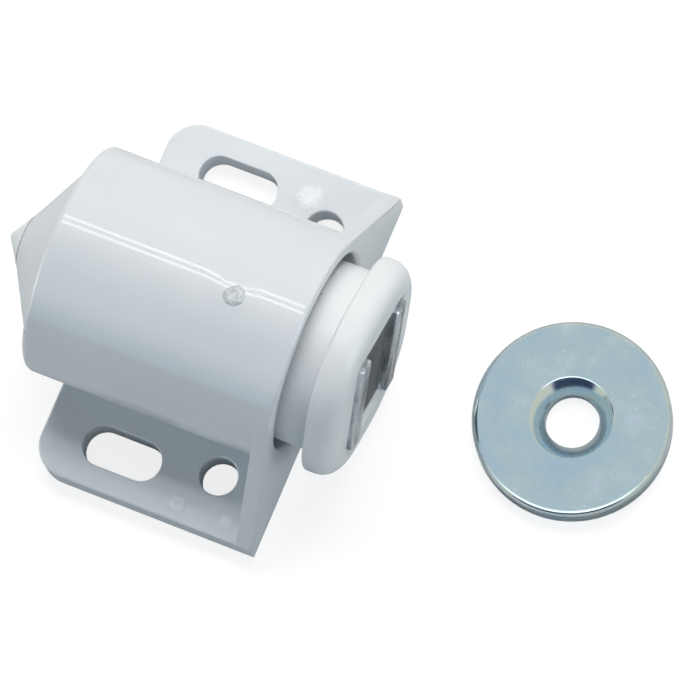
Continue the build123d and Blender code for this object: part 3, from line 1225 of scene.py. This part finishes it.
@dataclass
class DriveSpring:
    """The coil between the spindle's foot and the plunger's retainer."""

    name: str = "drive_spring"
    smooth_angle: float = 40.0

    def build(self, solid: Piece) -> Piece:
        """Copies the solid coil with its vertices merged.

        Args:
            solid: The frame's spring.

        Returns:
            The coil.
        """
        spring = bpy.data.objects.new(self.name, solid.data.copy())
        rename(spring, self.name)
        spring.data.transform(solid.matrix_world)
        bpy.context.scene.collection.objects.link(spring)
        with editing(spring):
            bpy.ops.mesh.remove_doubles(threshold=MERGE)
        smooth(spring, self.smooth_angle)
        return spring


@dataclass
class StrikeDisc:
    """The plated steel disc that the magnet holds on the door."""

    x: float = 31.3 * MM
    y: float = 4.9 * MM
    radius: float = 10.25 * MM
    thick: float = 3.0 * MM
    top_round: float = 0.8 * MM
    bottom_round: float = 0.2 * MM
    sink_r: float = 4.3 * MM
    hole_r: float = 2.8 * MM
    rim_round: float = 0.12 * MM

    def build(self) -> Piece:
        """Turns the disc with its countersink.

        Returns:
            The finished disc.
        """
        t, r = self.thick, self.radius
        sink = self.sink_r - self.hole_r
        e = self.rim_round
        b, h = self.bottom_round, self.top_round
        low = quarter((b, r - b), -b, b, 4)
        high = quarter((t - h, r - h), h, h, 10)
        profile = [
            (0.0, self.hole_r), *reversed(low), *high, (t, self.sink_r + e),
            (t - 0.3 * e, self.sink_r + 0.2 * e), (t - e, self.sink_r - 0.6 * e),
            (t - sink + 0.5 * e, self.hole_r + 0.5 * e),
            (t - sink - 0.5 * e, self.hole_r),
        ]
        disc = turned("zinc_strike_disc", profile, Vector((self.x, self.y, 0)), Vector((0, 0, 1)), 192)
        smooth(disc, 30.0)
        return disc


@dataclass(frozen=True)
class Lamp:
    """One soft rectangular lamp that looks at the latch."""

    name: str
    towards: Place
    distance: float
    size: tuple[float, float]
    power: float
    colour: Colour
    mirrored: bool = True

    def build(self, spared: bpy.types.Collection) -> None:
        """Hangs the lamp in its direction from the latch, its long side along the barrel.

        Args:
            spared: The pieces that the lamp leaves out.
        """
        data = bpy.data.lights.new(self.name, "AREA")
        data.shape = "RECTANGLE"
        data.size, data.size_y = self.size
        data.energy = self.power
        data.color = self.colour
        lamp = bpy.data.objects.new(self.name, data)
        lamp.visible_glossy = self.mirrored
        bpy.context.scene.collection.objects.link(lamp)
        lamp.light_linking.receiver_collection = spared
        at = Vector(self.towards).normalized() * self.distance
        aim = (LATCH_MIDDLE - at).normalized()
        side = (ALONG - aim * aim.x).normalized()
        turn = Matrix((side, (-aim).cross(side), -aim)).transposed().to_4x4()
        lamp.matrix_world = Matrix.Translation(at) @ turn


LAMPS = (
    Lamp("softbox_high", (-0.1, 0.407, 0.914), 0.7, (0.6, 0.2), 1.68, (1.0, 0.985, 1.0), mirrored=False),
    Lamp("softbox_low", (-0.1, 0.766, 0.643), 0.7, (0.6, 0.2), 2.6, (1.0, 0.97, 0.92), mirrored=False),
    Lamp("front_kick", (1.0, 0.1, 0.35), 0.7, (0.4, 0.25), 1.35, (0.86, 0.96, 1.0)),
    Lamp("front_near_fill", (1.0, -0.9, 0.6), 0.7, (0.4, 0.3), 0.5, (0.95, 1.0, 0.97)),
    Lamp("near_kick", (0.0, -1.0, 0.35), 0.7, (0.4, 0.25), 0.46, (0.54, 0.8, 1.0)),
    Lamp("rear_kick", (-1.0, -0.5, 0.1), 0.7, (0.4, 0.3), 2.2, (0.95, 1.0, 0.99)),
    Lamp("tube_lower", (-0.186, 0.403, 0.896), 0.6, (0.42, 0.024), 0.26, (1.0, 1.0, 1.0)),
    Lamp("tube_upper", (-0.186, 0.307, 0.934), 0.6, (0.42, 0.024), 0.26, (1.0, 1.0, 1.0)),
)


@dataclass
class Studio:
    """Camera, lamps, backdrop and floor."""

    camera_at: Place = (0.1248, -0.1180, 0.6180)
    right: Place = (0.91759739, 0.38446051, -0.10102048)
    up: Place = (-0.35125487, 0.9031805, 0.24674888)
    lens: float = 328.93
    floor_size: float = 6.0
    floor_gap: float = 0.02 * MM
    room_colour: Colour = (0.95, 0.97, 1.0)
    ambient: float = 0.06
    mirrored: float = 0.75
    band: float = 2.0
    band_foot: tuple[float, float] = (0.5, 0.4)
    band_head: tuple[float, float] = (0.72, 0.92)
    band_sides: tuple[float, float] = (0.62, 0.3)
    skirting: float = 0.1
    patch_head: tuple[float, float] = (0.33, 0.45)
    patch_sides: tuple[float, float] = (0.8, 0.68)
    warm_heights: tuple[float, float] = (0.25, 0.75)
    near: Place = (0.26, -0.95, 0.0)
    cool: Colour = (0.8, 0.92, 1.0)
    warm: Colour = (1.0, 1.0, 0.88)
    navy: Colour = (0.3, 0.45, 1.0)

    def camera(self) -> None:
        """Places the camera at the photograph's viewing angle."""
        data = bpy.data.cameras.new("camera")
        data.lens = self.lens
        data.sensor_width = 36.0
        data.clip_start = 0.01
        camera = bpy.data.objects.new("camera", data)
        bpy.context.scene.collection.objects.link(camera)
        right, up = Vector(self.right).normalized(), Vector(self.up).normalized()
        back = right.cross(up).normalized()
        turn = Matrix((right, up, back)).transposed().to_4x4()
        camera.matrix_world = Matrix.Translation(Vector(self.camera_at)) @ turn
        bpy.context.scene.camera = camera

    def world(self) -> None:
        """Lights the room evenly, shows the metal a brighter room and the camera plain white."""
        world = bpy.data.worlds.new("studio")
        bpy.context.scene.world = world
        world.use_nodes = True
        nodes = Wiring(world.node_tree)
        room = nodes.tree.nodes["Background"]
        nodes.feed(room, {"Color": (*self.room_colour, 1.0), "Strength": self.ambient})
        strength, colour = self.mirrored_room(nodes)
        shine = nodes.add("Background", {"Color": colour, "Strength": strength}, "Background")
        plain = nodes.add("Background", {"Color": white(), "Strength": 1.0}, "Background")
        below = room.outputs["Background"]
        for kind, above in (("Glossy", shine), ("Transmission", shine), ("Camera", plain)):
            ray = nodes.add("LightPath", {}, f"Is {kind} Ray")
            below = nodes.add("MixShader", {"Fac": ray, 1: below, 2: above}, "Shader")
        nodes.feed(nodes.tree.nodes["World Output"], {"Surface": below})

    def mirrored_room(self, nodes: Wiring) -> tuple[Socket, Socket]:
        """The room that the metal mirrors: cool above, warm low down, with a light band and a navy patch.

        Args:
            nodes: The world's nodes.

        Returns:
            The strength and the colour.
        """
        direction = nodes.add("TexCoord", {}, "Generated")
        height = nodes.add("SeparateXYZ", {"Vector": direction}, "Z")
        facing = nodes.add("VectorMath", {0: direction, 1: self.near}, "Value", operation="DOT_PRODUCT")
        level = nodes.times(nodes.faded(height, *self.band_foot), nodes.faded(height, *self.band_head))
        band = nodes.times(level, nodes.faded(facing, *self.band_sides))
        patch = nodes.times(nodes.faded(height, *self.patch_head), nodes.faded(facing, *self.patch_sides))
        strength = nodes.mixed(patch, nodes.span(band, self.mirrored, self.band), self.skirting)
        hue = nodes.ramp(nodes.faded(height, *self.warm_heights), [(0.0, self.cool), (1.0, self.warm)])
        return strength, nodes.mixed(patch, hue, self.navy)

    def floor(self) -> None:
        """Lays a plain pale floor just below the undersides."""
        deselect()
        bpy.ops.mesh.primitive_plane_add(size=self.floor_size, location=(0, 0, -self.floor_gap))
        floor = name_new("floor")
        dress(floor, WhiteGround("floor_white").make())

    def build(self, disc: Piece) -> None:
        """Sets the camera, lamps, world and floor, and the plain view transform.

        Args:
            disc: The strike disc, which mirrors the room alone.
        """
        self.camera()
        self.world()
        self.floor()
        spared = bpy.data.collections.new("spared_by_lamps")
        spared.objects.link(disc)
        spared.collection_objects[0].light_linking.link_state = "EXCLUDE"
        for lamp in LAMPS:
            lamp.build(spared)
        bpy.context.scene.view_settings.view_transform = "Standard"


@dataclass
class Catch:
    """The whole catch: every piece, its body and its finish."""

    housing: Housing = field(default_factory=Housing)
    cap: EndCap = field(default_factory=EndCap)
    plunger: Plunger = field(default_factory=Plunger)
    spring: DriveSpring = field(default_factory=DriveSpring)
    disc: StrikeDisc = field(default_factory=StrikeDisc)
    made: dict[Slot, bpy.types.Material] = field(init=False)

    def __post_init__(self) -> None:
        """Makes every material once."""
        self.made = {slot: finish.make() for slot, finish in FINISHES.items()}

    def hand_over(self, piece: Piece, body: str, slot: Slot, *nodes: str) -> None:
        """Dresses a finished piece, fixes it to its body and lets it stand for its solids.

        Args:
            piece: The finished piece.
            body: The body that carries it.
            slot: The record's slot.
            nodes: The solids that it stands for.
        """
        dress(piece, self.made[slot])
        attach(piece, body)
        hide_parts(*nodes)
        LOG.info("%s: %d faces", piece.name, len(piece.data.polygons))

    def stretch(self, spring: Piece) -> None:
        """Dresses the spring, bakes its place into its mesh and hides its solid.

        Args:
            spring: The finished coil.
        """
        dress(spring, self.made[Slot.SPRING])
        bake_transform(spring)
        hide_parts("spring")
        LOG.info("%s: %d faces", spring.name, len(spring.data.polygons))

    def build(self, nodes: dict[str, Piece]) -> Piece:
        """Models what shows, and dresses what the barrel hides.

        Args:
            nodes: The frame's solids by name.

        Returns:
            The strike disc.
        """
        self.hand_over(self.housing.build(), "housing", Slot.HOUSING, "housing")
        self.hand_over(self.cap.build(), "housing", Slot.HOUSING, "end_cap")
        self.hand_over(self.plunger.build(), "plunger", Slot.PLUNGER, "plunger")
        self.hand_over(self.plunger.magnet(), "plunger", Slot.MAGNET, "magnet")
        for name, side in (("upper", 1), ("lower", -1)):
            plate = self.plunger.pole(f"{name}_pole", side)
            self.hand_over(plate, "plunger", Slot.POLE, f"pole_plate_{name}")
        self.stretch(self.spring.build(nodes["spring"]))
        disc = self.disc.build()
        self.hand_over(disc, "housing", Slot.DISC, "strike_disc")
        for node, slot in (
            ("cam_spindle", Slot.PLUNGER), ("index_rotor", Slot.INNER), ("rotor_retainer", Slot.INNER),
        ):
            dress(nodes[node], self.made[slot])
        return disc


def main() -> None:
    """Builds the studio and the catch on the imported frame."""
    logging.basicConfig(level=logging.INFO, format="%(name)s %(message)s")
    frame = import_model()
    disc = Catch().build(frame["nodes"])
    Studio().build(disc)
    deselect()


if __name__ == "__main__":
    main()
